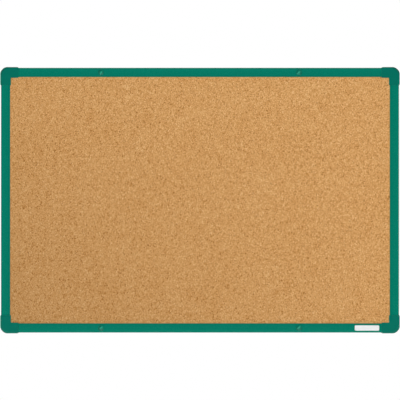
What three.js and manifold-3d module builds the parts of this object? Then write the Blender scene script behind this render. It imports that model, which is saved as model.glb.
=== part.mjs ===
// Cork notice board: a cork-faced panel held in the grooves of four powder-coated aluminium
// rails. Moulded corner pieces sleeve the rail ends and are screwed to them from the rear. The
// board hangs on a wall by four screws through its long rails, and a push-in plug covers each.
//
// Millimetres. The board stands upright: +X is right, +Z is up and the front faces -Y. The
// origin is the centre of the wall plane, which the rear faces of the corner pieces touch.

import * as THREE from "three";
import { mergeVertices } from "three/addons/utils/BufferGeometryUtils.js";
import Module from "manifold-3d";

const wasm = await Module();
wasm.setup();

// Overall size, across the corner pieces
const boardWidth = 900;
const boardHeight = 600;

// Panel: three sheets glued face to face
const corkThickness = 3;
const coreThickness = 6.5;
const backThickness = 2;
const panelPlay = 0.3;
const panelEdgePlay = 0.5;

// Rail section
const railFace = 20.8;
const railWall = 1.2;
const chamberWidth = 13.8;
const rearLip = 1.2;
const rearRebate = 2.5;
const railEdgeRadius = 2;
const railLipRadius = 0.8;

// Corner piece
const cornerArm = 41;
const cornerRadius = 16;
const cornerFrontWall = 1;
const cornerRearWall = 1.4;
const cornerSideWall = 1.5;
const cornerInnerWall = 1.4;
const cornerEdgeRadius = 3;
const cornerSmallRadius = 0.8;
const cornerInsideRadius = 1.5;
const armTaperLength = 3;
const armTaperStep = 1.1;
const sleeveFit = 0.3;

// Spigots of the corner piece, one in each rail's chamber
const spigotLength = 35;
const spigotFlange = 2.2;
const spigotWeb = 5.4;
const spigotRib = 1.6;
const spigotLead = 1.5;
const spigotRibs = 2;

// Corner screws, countersunk at a right angle
const screwHeadRadius = 2.6;
const screwShankRadius = 1.45;
const screwLength = 9.5;
const screwTip = 1.8;
const screwSunk = 0.1;
const screwFit = 0.25;
const screwFromArmEnd = 8;
const recessSpan = 2.9;
const recessWidth = 0.6;
const recessDepth = 0.9;

// Holes for the wall screws, in the long rails: a wide one in the front wall, which lets the
// screw's head through, and a narrow one in the rear wall
const wallHolePitch = 446;
const wallHoleRadius = 4.2;
const wallHoleMargin = 0.6;
const shankHoleRadius = 3;

// Plugs over the wall screws
const plugHeadRadius = 6.5;
const plugHeadHeight = 2.1;
const plugRim = 0.6;
const plugStemFit = 0.4;
const plugBulgeFit = 0.1;
const plugBulgeGap = 0.4;
const plugBulgeLength = 2.4;
const plugStemLength = 9;
const plugBore = 2.2;
const plugSlot = 1.3;

// Badge on the bottom rail
const badgeWidth = 55;
const badgeHeight = 12;
const badgeThickness = 0.8;
const badgeRadius = 2.5;
const badgeGap = 5.5;
const badgeEdge = 0.2;

// Cuts run past the faces that they open by this much
const overrun = 4;

// Faceting
const arcSteps = 5;
const cornerSteps = 8;
const roundSteps = 3;
const screwSides = 16;
const plugSides = 28;
const domeSteps = 5;

// Places that follow from the sizes, across the rail from its outer edge
const railInset = cornerSideWall + sleeveFit;
const webInner = railWall + chamberWidth;
const webOuter = webInner + railWall;
const panelInRail = webOuter + panelEdgePlay;
const spigotCentre = railWall + chamberWidth / 2;
const wallHoleCentre = webInner - wallHoleMargin - wallHoleRadius;

// Depths behind the rails' front faces
const panelThickness = corkThickness + coreThickness + backThickness;
const corkFront = railWall + panelPlay;
const grooveRear = corkFront + panelThickness + panelPlay;
const railDepth = grooveRear + rearLip + rearRebate;

// Places in the board
const wallPlane = 0;
const railFront = wallPlane - cornerRearWall - sleeveFit - railDepth;
const cornerFront = railFront - sleeveFit - cornerFrontWall;
const cornerDepth = wallPlane - cornerFront;
const blockEnd = railInset + railFace;
const railEnd = blockEnd + sleeveFit;
const cornerInside = blockEnd + sleeveFit + cornerInnerWall;
const panelEdge = railInset + panelInRail;
const screwAlong = cornerArm - screwFromArmEnd;

const coatedRail = { color: 0x037b66, roughness: 0.45, metalness: 0 };
const cornerPlastic = { color: 0x066f5a, roughness: 0.4, metalness: 0 };
const plugPlastic = { color: 0x04745f, roughness: 0.3, metalness: 0 };
const cork = { color: 0xc8965d, roughness: 0.95, metalness: 0 };
const fibreboard = { color: 0xb59a72, roughness: 1, metalness: 0 };
const hardboard = { color: 0x6b4a2f, roughness: 0.7, metalness: 0 };
const zincSteel = { color: 0xb9bcc0, roughness: 0.35, metalness: 1 };
const whitePlastic = { color: 0xeceded, roughness: 0.25, metalness: 0 };

// Exact quarter turns of a shape's axes. Upright lays a shape in X and Z, with its extrusion
// towards the front. Lengthwise draws a shape as depth and height, and extrudes it along X.
const upright = new THREE.Matrix4().set(1, 0, 0, 0, 0, 0, -1, 0, 0, 1, 0, 0, 0, 0, 0, 1);
const lengthwise = new THREE.Matrix4().set(0, 0, 1, 0, 1, 0, 0, 0, 0, 1, 0, 0, 0, 0, 0, 1);

// A closed geometry as a solid that can be joined and cut
function toSolid(geometry) {
  const bare = geometry.clone();
  bare.deleteAttribute("normal");
  bare.deleteAttribute("uv");
  const merged = mergeVertices(bare);
  const corners = merged.index.array;
  const triVerts = [];
  for (let i = 0; i < corners.length; i += 3) {
    const [a, b, c] = corners.slice(i, i + 3);
    if (a !== b && b !== c && c !== a) triVerts.push(a, b, c);
  }
  return new wasm.Manifold(new wasm.Mesh({
    numProp: 3,
    vertProperties: new Float32Array(merged.attributes.position.array),
    triVerts: new Uint32Array(triVerts),
  }));
}

// A solid as a geometry again
function toGeometry(solid) {
  const { vertProperties, triVerts } = solid.getMesh();
  const geometry = new THREE.BufferGeometry();
  geometry.setAttribute("position", new THREE.BufferAttribute(vertProperties, 3));
  geometry.setIndex(new THREE.BufferAttribute(triVerts, 1));
  geometry.computeVertexNormals();
  return geometry;
}

function box(low, high) {
  const size = high.map((value, i) => value - low[i]);
  const geometry = new THREE.BoxGeometry(...size);
  geometry.translate(...low.map((value, i) => value + size[i] / 2));
  return toSolid(geometry);
}

// A round bore or boss along Y
function round(radius, x, z, yLow, yHigh, sides) {
  const geometry = new THREE.CylinderGeometry(radius, radius, yHigh - yLow, sides);
  geometry.translate(x, (yLow + yHigh) / 2, z);
  return toSolid(geometry);
}

// A shape in X and Z, from its rear plane towards the front
function slab(shape, rear, thickness, bevel = {}) {
  const settings = { depth: thickness, bevelEnabled: false, curveSegments: cornerSteps, ...bevel };
  const geometry = new THREE.ExtrudeGeometry(shape, settings);
  geometry.applyMatrix4(upright);
  geometry.translate(0, rear, 0);
  return geometry;
}

// The settings of an edge rounding that stays inside the shape's outline
function rounding(radius) {
  return {
    bevelEnabled: true,
    bevelThickness: radius,
    bevelSize: radius,
    bevelOffset: -radius,
    bevelSegments: roundSteps,
  };
}

function roundedRectangle(width, height, radius) {
  const right = width / 2;
  const top = height / 2;
  const shape = new THREE.Shape();
  shape.absarc(right - radius, top - radius, radius, 0, Math.PI / 2);
  shape.absarc(radius - right, top - radius, radius, Math.PI / 2, Math.PI);
  shape.absarc(radius - right, radius - top, radius, Math.PI, Math.PI * 1.5);
  shape.absarc(right - radius, radius - top, radius, Math.PI * 1.5, Math.PI * 2);
  return shape;
}

// The front of a rail's section as (depth, distance from the outer edge), from the rear of
// its inner lip to the outer edge, with both front edges rounded and all of it grown by a gap
function traceRailFront(shape, grow) {
  const lipRadius = railLipRadius + grow;
  const edgeRadius = railEdgeRadius + grow;
  const inner = railFace + grow;
  shape.lineTo(lipRadius - grow, inner);
  shape.absarc(lipRadius - grow, inner - lipRadius, lipRadius, Math.PI / 2, Math.PI);
  shape.absarc(edgeRadius - grow, edgeRadius - grow, edgeRadius, Math.PI, Math.PI * 1.5);
}

// The section of a rail: a hollow chamber along its outer side, and a groove for the panel
function railSection() {
  const shape = new THREE.Shape();
  shape.moveTo(railDepth, 0);
  shape.lineTo(railDepth, webOuter);
  shape.lineTo(grooveRear + rearLip, webOuter);
  shape.lineTo(grooveRear + rearLip, railFace);
  shape.lineTo(grooveRear, railFace);
  shape.lineTo(grooveRear, webOuter);
  shape.lineTo(railWall, webOuter);
  shape.lineTo(railWall, railFace);
  traceRailFront(shape, 0);
  const chamber = new THREE.Path();
  chamber.moveTo(railWall, railWall);
  chamber.lineTo(railDepth - railWall, railWall);
  chamber.lineTo(railDepth - railWall, webInner);
  chamber.lineTo(railWall, webInner);
  shape.holes.push(chamber);
  return shape;
}

// The space that a rail needs inside a corner sleeve
function railSpace() {
  const shape = new THREE.Shape();
  shape.moveTo(railDepth + sleeveFit, -sleeveFit);
  shape.lineTo(railDepth + sleeveFit, railFace + sleeveFit);
  traceRailFront(shape, sleeveFit);
  return shape;
}

// A rail lies along X, centred, with its outer edge at z = 0 and its front face at y = 0
function makeRail(length, hasWallHoles) {
  const settings = { depth: length, bevelEnabled: false, curveSegments: arcSteps };
  const geometry = new THREE.ExtrudeGeometry(railSection(), settings);
  geometry.applyMatrix4(lengthwise);
  geometry.translate(-length / 2, 0, 0);
  let rail = toSolid(geometry);
  const rearWall = [railDepth - railWall - screwFit, railDepth + overrun];
  const frontWall = [-overrun, railWall + screwFit];
  for (const side of [-1, 1]) {
    const screwX = side * (length / 2 + railEnd - screwAlong);
    const screwHole = screwShankRadius + screwFit;
    rail = rail.subtract(round(screwHole, screwX, spigotCentre, ...rearWall, screwSides));
    if (hasWallHoles) {
      const holeX = side * wallHolePitch / 2;
      rail = rail.subtract(round(wallHoleRadius, holeX, wallHoleCentre, ...frontWall, plugSides));
      rail = rail.subtract(round(shankHoleRadius, holeX, wallHoleCentre, ...rearWall, plugSides));
    }
  }
  return toGeometry(rail);
}

// The outline of a corner piece, with its outer corner at the origin and its arms along +X and
// +Z. Each arm's end tapers towards the rail on its outer side.
function cornerOutline() {
  const shape = new THREE.Shape();
  shape.absarc(cornerRadius, cornerRadius, cornerRadius, Math.PI, Math.PI * 1.5);
  shape.lineTo(cornerArm - armTaperLength, 0);
  shape.lineTo(cornerArm, armTaperStep);
  shape.lineTo(cornerArm, cornerInside);
  const arcCentre = cornerInside + cornerInsideRadius;
  shape.absarc(arcCentre, arcCentre, cornerInsideRadius, Math.PI * 1.5, Math.PI, true);
  shape.lineTo(cornerInside, cornerArm);
  shape.lineTo(armTaperStep, cornerArm);
  shape.lineTo(0, cornerArm - armTaperLength);
  return shape;
}

// The same outer corner with no ends or inner side, for rounding its outer front edge more
function cornerOuterShape() {
  const reach = cornerArm + cornerDepth;
  const shape = new THREE.Shape();
  shape.absarc(cornerRadius, cornerRadius, cornerRadius, Math.PI, Math.PI * 1.5);
  shape.lineTo(reach, 0);
  shape.lineTo(reach, reach);
  shape.lineTo(0, reach);
  return shape;
}

// The rail's space along X, or along Z with its section transposed
function cornerPocket(alongZ) {
  const settings = { depth: cornerArm, bevelEnabled: false, curveSegments: arcSteps };
  const section = railSpace();
  if (alongZ) {
    const points = section.getPoints(arcSteps).map((point) => new THREE.Vector2(point.y, point.x));
    const geometry = new THREE.ExtrudeGeometry(new THREE.Shape(points), settings);
    geometry.translate(railInset, railFront, blockEnd);
    return toSolid(geometry);
  }
  const geometry = new THREE.ExtrudeGeometry(section, settings);
  geometry.applyMatrix4(lengthwise);
  geometry.translate(blockEnd, railFront, railInset);
  return toSolid(geometry);
}

// One spigot, along X from the corner block, centred on z = 0: two flanges, a web and ribs
function makeSpigot() {
  const half = chamberWidth / 2 - sleeveFit;
  const front = railFront + railWall + sleeveFit;
  const rear = railFront + railDepth - railWall - sleeveFit;
  const root = blockEnd - overrun;
  const tip = blockEnd + spigotLength;
  const leadStart = tip - spigotLead;
  let spigot = box([root, front, -half], [leadStart, front + spigotFlange, half]);
  spigot = spigot.add(box([root, rear - spigotFlange, -half], [leadStart, rear, half]));
  spigot = spigot.add(box([root, front, -spigotWeb / 2], [leadStart, rear, spigotWeb / 2]));
  for (let i = 1; i <= spigotRibs; i += 1) {
    const ribStart = blockEnd + (spigotLength * i) / (spigotRibs + 1);
    spigot = spigot.add(box([ribStart, front, -half], [ribStart + spigotRib, rear, half]));
  }
  const lead = new THREE.Shape();
  lead.moveTo(leadStart - spigotRib, half);
  lead.lineTo(leadStart - spigotRib, -half);
  lead.lineTo(leadStart, -half);
  lead.lineTo(tip, spigotLead - half);
  lead.lineTo(tip, half - spigotLead);
  lead.lineTo(leadStart, half);
  return spigot.add(toSolid(slab(lead, rear, rear - front)));
}

// The screw's profile from its head to its tip, grown by a gap, as (radius, y)
function screwProfile(grow) {
  const head = -screwSunk;
  const shank = screwShankRadius + grow;
  const neck = head - (screwHeadRadius - screwShankRadius);
  return [
    new THREE.Vector2(0, head),
    new THREE.Vector2(screwHeadRadius + grow, head),
    new THREE.Vector2(shank, neck),
    new THREE.Vector2(shank, head - screwLength + screwTip),
    new THREE.Vector2(0, head - screwLength - grow),
  ].reverse();
}

// What a screw takes out of a corner piece: its own shape with a gap, open at the rear
function screwSpace() {
  const space = toSolid(new THREE.LatheGeometry(screwProfile(screwFit), screwSides));
  const mouth = screwHeadRadius + screwFit;
  return space.add(round(mouth, 0, 0, -screwSunk, overrun, screwSides));
}

function makeCorner() {
  const plain = slab(cornerOutline(), -cornerSmallRadius, cornerDepth - cornerSmallRadius * 2,
    rounding(cornerSmallRadius));
  const outer = slab(cornerOuterShape(), cornerEdgeRadius, cornerDepth, rounding(cornerEdgeRadius));
  let corner = toSolid(plain).intersect(toSolid(outer));
  corner = corner.subtract(cornerPocket(false)).subtract(cornerPocket(true));
  const notch = panelEdge - panelPlay;
  const reach = cornerArm + overrun;
  const notchFront = railFront + railWall;
  const notchRear = railFront + grooveRear;
  corner = corner.subtract(box([notch, notchFront, notch], [reach, notchRear, reach]));
  const spigot = makeSpigot();
  const spigotLine = railInset + spigotCentre;
  corner = corner.add(spigot.translate([0, 0, spigotLine]));
  corner = corner.add(spigot.rotate([0, -90, 0]).translate([spigotLine, 0, 0]));
  const screw = screwSpace();
  corner = corner.subtract(screw.translate([screwAlong, wallPlane, spigotLine]));
  corner = corner.subtract(screw.translate([spigotLine, wallPlane, screwAlong]));
  return toGeometry(corner);
}

// A countersunk screw with a cross recess, pointing to the front
function makeScrew() {
  let screw = toSolid(new THREE.LatheGeometry(screwProfile(0), screwSides));
  const floor = -screwSunk - recessDepth;
  const half = recessSpan / 2;
  const thin = recessWidth / 2;
  screw = screw.subtract(box([-half, floor, -thin], [half, overrun, thin]));
  screw = screw.subtract(box([-thin, floor, -half], [thin, overrun, half]));
  return toGeometry(screw);
}

// A plug seen along its axis: a domed head on the rail's front face, at y = 0, and a hollow stem
// behind it, slotted crosswise, with a bulge that snaps behind the rail's front wall
function makePlug() {
  const stem = wallHoleRadius - plugStemFit;
  const bulge = wallHoleRadius - plugBulgeFit;
  const bulgeStart = railWall + plugBulgeGap;
  const bulgeEnd = bulgeStart + plugBulgeLength;
  const dome = [];
  const domeHeight = plugHeadHeight - plugRim;
  for (let i = 0; i <= domeSteps; i += 1) {
    const turn = (Math.PI / 2) * (i / domeSteps);
    dome.push([plugHeadRadius * Math.sin(turn), -plugRim - domeHeight * Math.cos(turn)]);
  }
  dome[0][0] = 0;
  const profile = [
    ...dome,
    [plugHeadRadius, 0],
    [stem, 0],
    [stem, bulgeStart],
    [bulge, (bulgeStart + bulgeEnd) / 2],
    [stem, bulgeEnd],
    [stem - plugRim, plugStemLength],
    [plugBore, plugStemLength],
    [plugBore, railWall],
    [0, railWall],
  ].map(([radius, y]) => new THREE.Vector2(radius, y));
  let plug = toSolid(new THREE.LatheGeometry(profile, plugSides));
  const wide = plugHeadRadius;
  const thin = plugSlot / 2;
  const far = plugStemLength + overrun;
  plug = plug.subtract(box([-wide, bulgeStart, -thin], [wide, far, thin]));
  plug = plug.subtract(box([-thin, bulgeStart, -wide], [thin, far, wide]));
  return toGeometry(plug);
}

// A plain plate with softened front edges
function makeBadge() {
  const face = roundedRectangle(badgeWidth, badgeHeight, badgeRadius);
  const core = badgeThickness - badgeEdge * 2;
  return slab(face, -badgeEdge, core, { ...rounding(badgeEdge), bevelSegments: 1 });
}

// One sheet of the panel, at a depth behind the rails' front faces
function makeSheet(depth, thickness) {
  const width = boardWidth - panelEdge * 2;
  const height = boardHeight - panelEdge * 2;
  const geometry = new THREE.BoxGeometry(width, thickness, height);
  geometry.translate(0, railFront + depth + thickness / 2, 0);
  return geometry;
}

const board = new THREE.Group();

function addMesh(parent, name, geometry, finish) {
  const mesh = new THREE.Mesh(geometry, new THREE.MeshStandardMaterial(finish));
  mesh.name = name;
  parent.add(mesh);
  return mesh;
}

// Panel
const coreFront = corkFront + corkThickness;
const backFront = coreFront + coreThickness;
addMesh(board, "cork_facing", makeSheet(corkFront, corkThickness), cork);
addMesh(board, "fibre_core", makeSheet(coreFront, coreThickness), fibreboard);
addMesh(board, "hardboard_back", makeSheet(backFront, backThickness), hardboard);

// Rails, with the plugs in the long ones. Each side of the board is a quarter turn of the bottom.
const sides = [
  { name: "bottom", along: boardWidth, across: boardHeight, plugs: ["right", "left"] },
  { name: "left", along: boardHeight, across: boardWidth, plugs: [] },
  { name: "top", along: boardWidth, across: boardHeight, plugs: ["left", "right"] },
  { name: "right", along: boardHeight, across: boardWidth, plugs: [] },
];
const plugGeometry = makePlug();
sides.forEach(({ name, along, across, plugs }, quarter) => {
  const side = new THREE.Group();
  side.rotation.y = (Math.PI / 2) * quarter;
  board.add(side);
  const frame = new THREE.Group();
  frame.position.set(0, railFront, railInset - across / 2);
  side.add(frame);
  const rail = makeRail(along - railEnd * 2, plugs.length > 0);
  addMesh(frame, `${name}_rail`, rail, coatedRail);
  plugs.forEach((place, i) => {
    const plug = addMesh(frame, `plug_${name}_${place}`, plugGeometry, plugPlastic);
    plug.position.set((0.5 - i) * wallHolePitch, 0, wallHoleCentre);
  });
  if (name === "bottom") {
    const badge = addMesh(frame, "blank_badge", makeBadge(), whitePlastic);
    const badgeX = along / 2 - cornerArm - badgeGap - badgeWidth / 2;
    badge.position.set(badgeX, 0, railFace / 2);
  }
});

// Corner pieces, each with a screw in either arm. Each corner is a quarter turn of the first.
const corners = [
  { name: "bottom_left", x: -1, z: -1, arms: ["bottom", "left"] },
  { name: "top_left", x: -1, z: 1, arms: ["left", "top"] },
  { name: "top_right", x: 1, z: 1, arms: ["top", "right"] },
  { name: "bottom_right", x: 1, z: -1, arms: ["right", "bottom"] },
];
const cornerGeometry = makeCorner();
const screwGeometry = makeScrew();
const screwAcross = railInset + spigotCentre;
corners.forEach(({ name, x, z, arms }, quarter) => {
  const group = new THREE.Group();
  group.position.set((x * boardWidth) / 2, wallPlane, (z * boardHeight) / 2);
  group.rotation.y = (Math.PI / 2) * quarter;
  board.add(group);
  addMesh(group, `corner_${name}`, cornerGeometry, cornerPlastic);
  const places = [[screwAlong, screwAcross], [screwAcross, screwAlong]];
  places.forEach(([along, across], i) => {
    const screw = addMesh(group, `screw_${name}_${arms[i]}`, screwGeometry, zincSteel);
    screw.position.set(along, 0, across);
  });
});

export default board;
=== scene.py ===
"""The looks of a wall-hung cork notice board, laid out as a Blender add-on and run as a script.

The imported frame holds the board's real sizes. Each operator below makes one piece, or one group
of like pieces, in the place that the frame gives it. Metres: +X is right, +Z is up, and the cork
faces -Y.
"""

import math
from types import SimpleNamespace

import bmesh
import bpy
from bpy.props import FloatProperty, FloatVectorProperty, IntProperty, PointerProperty
from mathutils import Matrix, Vector


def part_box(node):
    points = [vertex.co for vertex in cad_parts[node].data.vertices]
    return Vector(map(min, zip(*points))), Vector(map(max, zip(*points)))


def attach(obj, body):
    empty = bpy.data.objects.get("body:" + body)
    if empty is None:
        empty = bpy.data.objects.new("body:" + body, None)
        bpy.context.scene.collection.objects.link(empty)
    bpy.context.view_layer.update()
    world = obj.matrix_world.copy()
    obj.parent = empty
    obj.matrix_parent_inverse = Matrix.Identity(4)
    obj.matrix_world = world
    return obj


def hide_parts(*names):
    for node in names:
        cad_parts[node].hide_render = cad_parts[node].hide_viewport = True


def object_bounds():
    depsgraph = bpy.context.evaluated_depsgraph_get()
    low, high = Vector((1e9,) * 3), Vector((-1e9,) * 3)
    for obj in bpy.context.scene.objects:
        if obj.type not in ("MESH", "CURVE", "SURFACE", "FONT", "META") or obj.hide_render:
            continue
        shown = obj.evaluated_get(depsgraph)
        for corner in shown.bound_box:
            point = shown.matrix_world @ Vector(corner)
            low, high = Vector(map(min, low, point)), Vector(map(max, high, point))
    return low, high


bl_info = {
    "name": "Cork notice board",
    "version": (1, 0, 0),
    "blender": (4, 5, 0),
    "location": "3D Viewport > Sidebar > Notice board",
    "description": "Builds a cork notice board with an aluminium frame, piece by piece",
    "category": "Add Mesh",
}

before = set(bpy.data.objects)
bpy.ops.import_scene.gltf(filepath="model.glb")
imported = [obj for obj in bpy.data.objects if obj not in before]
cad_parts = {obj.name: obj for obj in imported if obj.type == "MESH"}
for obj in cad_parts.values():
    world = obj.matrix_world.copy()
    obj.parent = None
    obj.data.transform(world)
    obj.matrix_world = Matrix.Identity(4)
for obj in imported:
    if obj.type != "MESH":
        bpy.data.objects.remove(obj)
frame_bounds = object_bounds()

MM = 0.001
OVERRUN = 4 * MM  # how far a cutting tool stands out of what it cuts
WELD = 0.001 * MM  # points of a mesh that are this close become one
SEAM = 0.002 * MM  # the same, in a geometry tree
SIDES = ("bottom", "left", "top", "right")
CORNERS = ("bottom_left", "top_left", "top_right", "bottom_right")
PLUGS = ("bottom_right", "bottom_left", "top_left", "top_right")

# The rails' front plane, width and depth, and how far they lie in from the corners' outer side
RAIL_LOW, RAIL_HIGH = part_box("bottom_rail")
CORNER_LOW, CORNER_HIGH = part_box("corner_bottom_left")
RAIL_FRONT = RAIL_LOW.y
RAIL_FACE = RAIL_HIGH.z - RAIL_LOW.z
RAIL_DEPTH = RAIL_HIGH.y - RAIL_LOW.y
RAIL_INSET = RAIL_LOW.z - CORNER_LOW.z


# Properties


def length(name, description, millimetres):
    """A size in millimetres, as a property in metres"""
    return FloatProperty(
        name=name, description=description, default=millimetres * MM, unit="LENGTH", precision=5
    )


def count(name, description, number):
    """A number of faces, rings or turns, as a property"""
    return IntProperty(name=name, description=description, default=number)


def pixels(name, description, number):
    """A place or a width in the photograph, as a property"""
    return FloatProperty(name=name, description=description, default=number, subtype="PIXEL")


def linear(value):
    """A screen's value, from 0 to 255, in linear light"""
    return ((value / 255 + 0.055) / 1.055) ** 2.4 if value > 10 else value / 255 / 12.92


def colour(name, description, *screen):
    """A colour given as it looks on a screen, as a linear property"""
    tint = [linear(value) for value in screen]
    return FloatVectorProperty(
        name=name, description=description, default=tint, subtype="COLOR", min=0, max=1
    )


class RailSizes(bpy.types.PropertyGroup):
    """The section of the aluminium rails, apart from its outer width and depth"""

    wall: length("Wall", "Thickness of the extrusion's walls", 1.2)
    chamber: length("Chamber", "Width of the hollow chamber", 13.8)
    lip: length("Rear lip", "Thickness of the lip behind the panel", 1.2)
    panel_play: length("Panel play", "Gap in front of the panel and behind it", 0.3)
    edge_radius: length("Outer edge", "Rounding of the front edge on the outside", 2)
    lip_radius: length("Inner edge", "Rounding of the front edge on the inside", 0.8)
    burr: length("Other edges", "Rounding of the two rear edges", 0.3)
    steps: count("Steps", "Faces in each rounding", 8)
    wall_hole: length("Wall hole", "Radius of the hole under each plug", 4.2)
    shank_hole: length("Shank hole", "Radius of the rear hole for a wall screw", 3)
    screw_hole: length("Screw hole", "Radius of the hole for a corner screw", 1.7)
    sides: count("Sides", "Faces round each hole", 40)


class CornerSizes(bpy.types.PropertyGroup):
    """The moulded corner pieces"""

    arm: length("Arm", "Length of each arm along the board's edge", 41)
    radius: length("Corner radius", "Radius of the outer corner, seen from the front", 16)
    edge_radius: length("Outer edge", "Rounding of the front edge on the outside", 3)
    dome_corner: length("Dome corner", "Radius of the dome's outline over the outer corner", 24)
    dome_radius: length("Dome edge", "Rounding of the dome over the outer corner", 7)
    small_radius: length("Other edges", "Rounding of all other edges", 0.8)
    inside_radius: length("Inside radius", "Radius of the corner towards the cork", 1.5)
    taper_length: length("Taper length", "Length of the taper at each arm's end", 3)
    taper_step: length("Taper step", "How far the taper comes in", 1.1)
    inner_wall: length("Inner wall", "Thickness of the wall towards the cork", 1.4)
    fit: length("Fit", "Gap between the corner piece and a rail", 0.3)
    spigot: length("Spigot", "Length of each spigot in a rail's chamber", 35)
    flange: length("Flange", "Thickness of a spigot's flanges", 2.2)
    web: length("Web", "Thickness of a spigot's web", 5.4)
    rib: length("Rib", "Thickness of a spigot's ribs", 1.6)
    lead: length("Lead", "Chamfer at a spigot's tip", 1.5)
    steps: count("Steps", "Faces in each rounding", 8)
    pocket_steps: count("Pocket steps", "Faces in each rounding of the rails' pockets", 6)


class ScrewSizes(bpy.types.PropertyGroup):
    """The countersunk corner screws"""

    head_radius: length("Head radius", "Radius of the screw's head", 2.6)
    shank_radius: length("Shank radius", "Radius over the screw's thread", 1.45)
    core_radius: length("Core radius", "Radius under the screw's thread", 1.05)
    pitch: length("Pitch", "Distance between two turns of the thread", 1.1)
    tip: length("Tip", "Length of the pointed tip", 1.8)
    fit: length("Fit", "Gap round the screw in the corner piece", 0.25)
    recess_span: length("Recess span", "Width across the cross recess", 2.9)
    recess_width: length("Recess width", "Width of each of its slots", 0.6)
    recess_depth: length("Recess depth", "Depth of the cross recess", 0.9)
    sides: count("Sides", "Faces round a screw", 32)
    rings: count("Rings", "Rings along a screw", 97)
    seed: count("Seed", "How far each screw is turned", 5)


class PlugSizes(bpy.types.PropertyGroup):
    """The push-in plugs over the wall screws"""

    dome: length("Dome", "Radius of the head's shallow dome", 18)
    rim_radius: length("Rim edge", "Rounding between the dome and the rim", 0.8)
    stem_lead: length("Stem lead", "Taper at the stem's end", 0.6)
    stem_fit: length("Stem fit", "Gap between the stem and its hole", 0.4)
    bulge_fit: length("Bulge fit", "Gap between the stem's bulge and the hole", 0.1)
    bulge_gap: length("Bulge gap", "From the front wall to the bulge", 0.4)
    bulge_length: length("Bulge length", "Length of the bulge", 2.4)
    bulge_steps: count("Bulge steps", "Rings along the bulge", 8)
    bore: length("Bore", "Radius of the stem's bore", 2.2)
    slot: length("Slot", "Width of the crossed slots in the stem", 1.3)
    steps: count("Steps", "Rings in the dome", 14)
    sides: count("Sides", "Faces round the plug", 72)


class BadgeSizes(bpy.types.PropertyGroup):
    """The bare plate on the bottom rail"""

    radius: length("Corner radius", "Radius of the plate's corners", 2.5)
    edge: length("Edge", "Rounding of the plate's front edge", 0.2)
    edge_steps: count("Edge steps", "Faces in the front edge's rounding", 3)
    rim: length("Rim", "Width of the raised rim", 0.9)
    sunk: length("Sunk", "How far the middle lies below the rim", 0.12)
    steps: count("Steps", "Faces in each corner", 10)


class CorkSizes(bpy.types.PropertyGroup):
    """The cork sheet: its grain and its relief"""

    coarse: length("Coarse granules", "Size of the large granules", 2.7)
    fine: length("Fine granules", "Size of the small granules", 1.3)
    chip: length("Bark chips", "Width of the dark and light chips", 1.6)
    dust: length("Dust", "Size of the specks in each granule", 0.7)
    pit: length("Pits", "Distance between the pits' middles", 3.6)
    patch: length("Patches", "Size of the patches of like granules", 90)
    ripple: length("Ripple", "Size of the waves in the granules' outlines", 3)
    ripple_reach: length("Ripple reach", "How far these waves move an outline", 1.8)
    spacing: length("Mesh spacing", "Distance between the sheet's surface points", 2.5)
    relief: length("Relief", "How far single granules lie below the face", 0.16)
    wave: length("Wave", "Size of the sheet's slow unevenness", 34)
    wave_depth: length("Wave depth", "Depth of the slow unevenness", 0.14)
    border: length("Border", "Width of the flat border in the rails' grooves", 5)


class Colours(bpy.types.PropertyGroup):
    """The colours of the board"""

    cork_dark: colour("Dark cork", "The darkest granules", 142, 84, 22)
    cork_low: colour("Low cork", "The browner granules", 195, 136, 71)
    cork_mean: colour("Middle cork", "Most granules", 214, 160, 98)
    cork_high: colour("High cork", "The paler granules", 228, 178, 119)
    cork_pale: colour("Pale cork", "The palest granules", 237, 197, 142)
    rail: colour("Rails", "The powder coat of the rails", 3, 123, 102)
    corner: colour("Corner pieces", "The plastic of the corner pieces", 4, 112, 95)
    plug: colour("Plugs", "The plastic of the plugs", 2, 110, 90)
    badge: colour("Badge", "The plastic of the bare plate", 240, 242, 242)
    zinc: colour("Zinc", "The plating of the screws", 190, 194, 199)
    softboard: colour("Fibreboard", "The soft core of the panel", 181, 154, 114)
    hardboard: colour("Hardboard", "The sheet at the rear of the panel", 112, 74, 46)


class StageSizes(bpy.types.PropertyGroup):
    """The camera and the floor"""

    photo_pixels: pixels("Photo width", "Width of the photograph", 400)
    left_pixel: pixels("Left edge", "Where the board's left edge shows", 0.1)
    right_pixel: pixels("Right edge", "Where the board's right edge shows", 399.85)
    centre_pixel: pixels("Centre", "The board's centre, down from the top", 200.2)
    lens: FloatProperty(
        name="Focal length", description="Of the camera's lens", default=200, unit="CAMERA"
    )
    floor_drop: length("Floor", "From the board's centre down to the floor", 950)
    floor_size: length("Floor size", "Width and depth of the floor", 7000)


class BoardSettings(bpy.types.PropertyGroup):
    """All that a user may change"""

    rail: PointerProperty(type=RailSizes)
    corner: PointerProperty(type=CornerSizes)
    screw: PointerProperty(type=ScrewSizes)
    plug: PointerProperty(type=PlugSizes)
    badge: PointerProperty(type=BadgeSizes)
    cork: PointerProperty(type=CorkSizes)
    colours: PointerProperty(type=Colours)
    stage: PointerProperty(type=StageSizes)


def settings():
    """The scene's own settings for the board"""
    return bpy.context.scene.notice_board


def picked(group, *names):
    """Some of a group's sizes, by name"""
    return {name: getattr(group, name) for name in names}


# Node trees


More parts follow.
